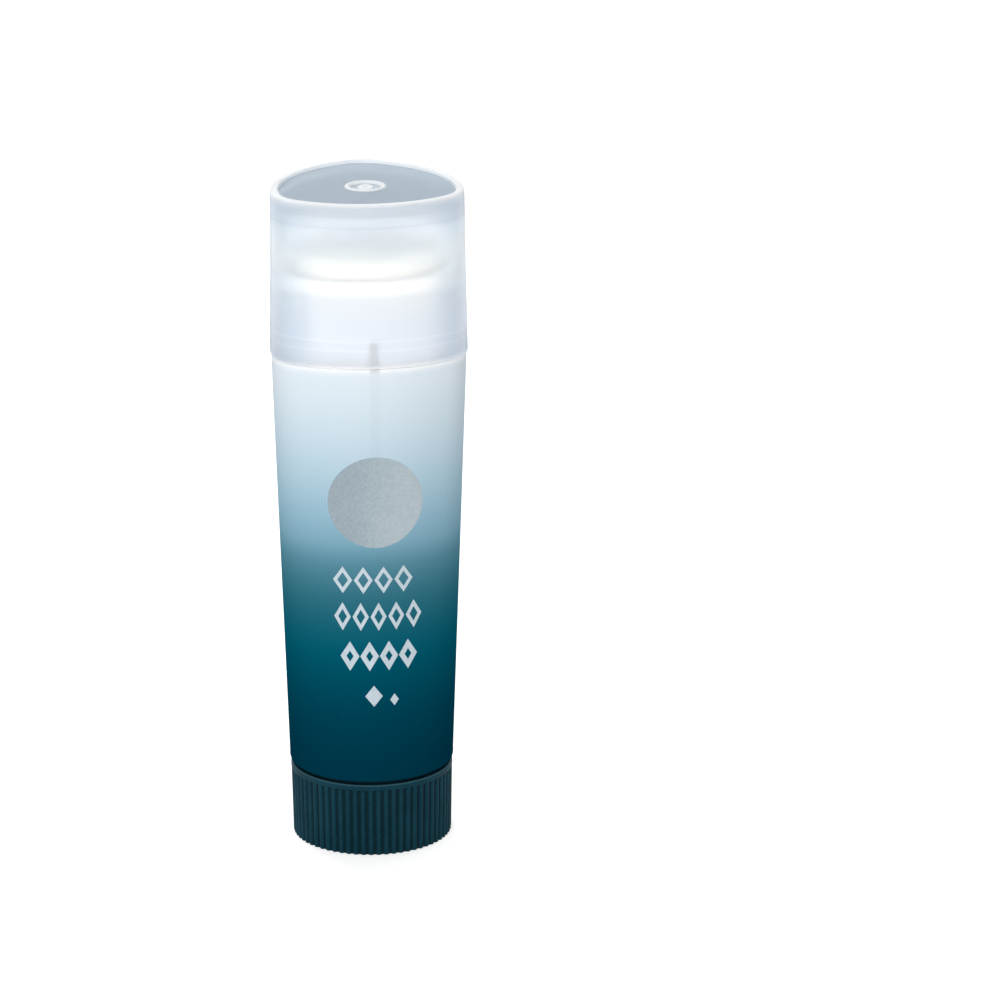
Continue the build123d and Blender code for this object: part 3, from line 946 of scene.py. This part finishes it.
# %% [markdown]
# ## Floor, light and background
# The stick stands on a white floor under soft light from all round, with a broad lamp from the
# front left and one from behind. The white of the background comes from a glow of the floor and
# the world that only the camera, reflections and see-through plastic see, not from more light, so
# the colours of the stick stay as they are written. A third, weak lamp lights the glue inside the
# cap. A shadow ray of Cycles stops at a rough see-through wall, though frosted plastic lets most
# of the light in, so the shadow rays of this lamp take no notice of the cap.

# %% Floor, world and lamps
FLOOR_RADIUS, FLOOR_GLOW, ROOM_LIGHT = 3.0, 0.46, 0.45
LAMP_AIM = Vector((0, 0, 0.04))


def seen_ray(tree):
    """1 for a ray that shows the background: straight, mirrored or through plastic."""
    path = node(tree, "ShaderNodeLightPath").outputs
    seen = total(tree, path["Is Camera Ray"], path["Is Glossy Ray"])
    return maths(tree, "ADD", seen, path["Is Transmission Ray"], clamp=True)


def make_floor():
    bm = bmesh.new()
    bmesh.ops.create_circle(bm, cap_ends=True, segments=96, radius=FLOOR_RADIUS)
    floor = new_piece("floor", bm)
    finish, tree, shader = new_finish("floor_paper")
    shader.inputs["Base Color"].default_value = (0.94, 0.94, 0.94, 1)
    shader.inputs["Roughness"].default_value = 1.0
    shader.inputs["Specular IOR Level"].default_value = 0.0
    shader.inputs["Emission Color"].default_value = (1, 1, 1, 1)
    glow = product(tree, seen_ray(tree), FLOOR_GLOW)
    tree.links.new(glow, shader.inputs["Emission Strength"])
    floor.data.materials.append(finish)


def make_world():
    world = bpy.data.worlds.new("white_room")
    scene.world = world
    world.use_nodes = True
    tree = world.node_tree
    inputs = (seen_ray(tree), 0.0, 1.0, ROOM_LIGHT, 1.0)
    strength = node(tree, "ShaderNodeMapRange", inputs).outputs[0]
    background = tree.nodes["Background"]
    background.inputs["Color"].default_value = (1, 1, 1, 1)
    tree.links.new(strength, background.inputs["Strength"])


def add_lamp(name, place, size, watts):
    data = bpy.data.lights.new(name, "AREA")
    data.size, data.energy = size, watts
    lamp = bpy.data.objects.new(name, data)
    lamp.location = place
    lamp.rotation_mode = "QUATERNION"
    lamp.rotation_quaternion = (LAMP_AIM - Vector(place)).to_track_quat("-Z", "Y")
    scene.collection.objects.link(lamp)
    return lamp


def shine_through(lamp, piece):
    """Let the light of a lamp pass a frosted piece to what stands inside it."""
    passed = bpy.data.collections.new(lamp.name + "_passes")
    passed.objects.link(piece)
    lamp.light_linking.blocker_collection = passed
    for entry in passed.collection_objects:
        entry.light_linking.link_state = "EXCLUDE"


make_floor()
make_world()
add_lamp("front_left_lamp", (-0.24, -0.66, 0.38), 0.5, 2.85)
add_lamp("back_top_lamp", (-0.12, 0.5, 0.6), 0.4, 2.2)
glow_lamp = add_lamp("glow_lamp", (0.34, 0.4, 0.58), 0.4, 0.6)
shine_through(glow_lamp, cap_skin)
print("floor, world and three lamps")
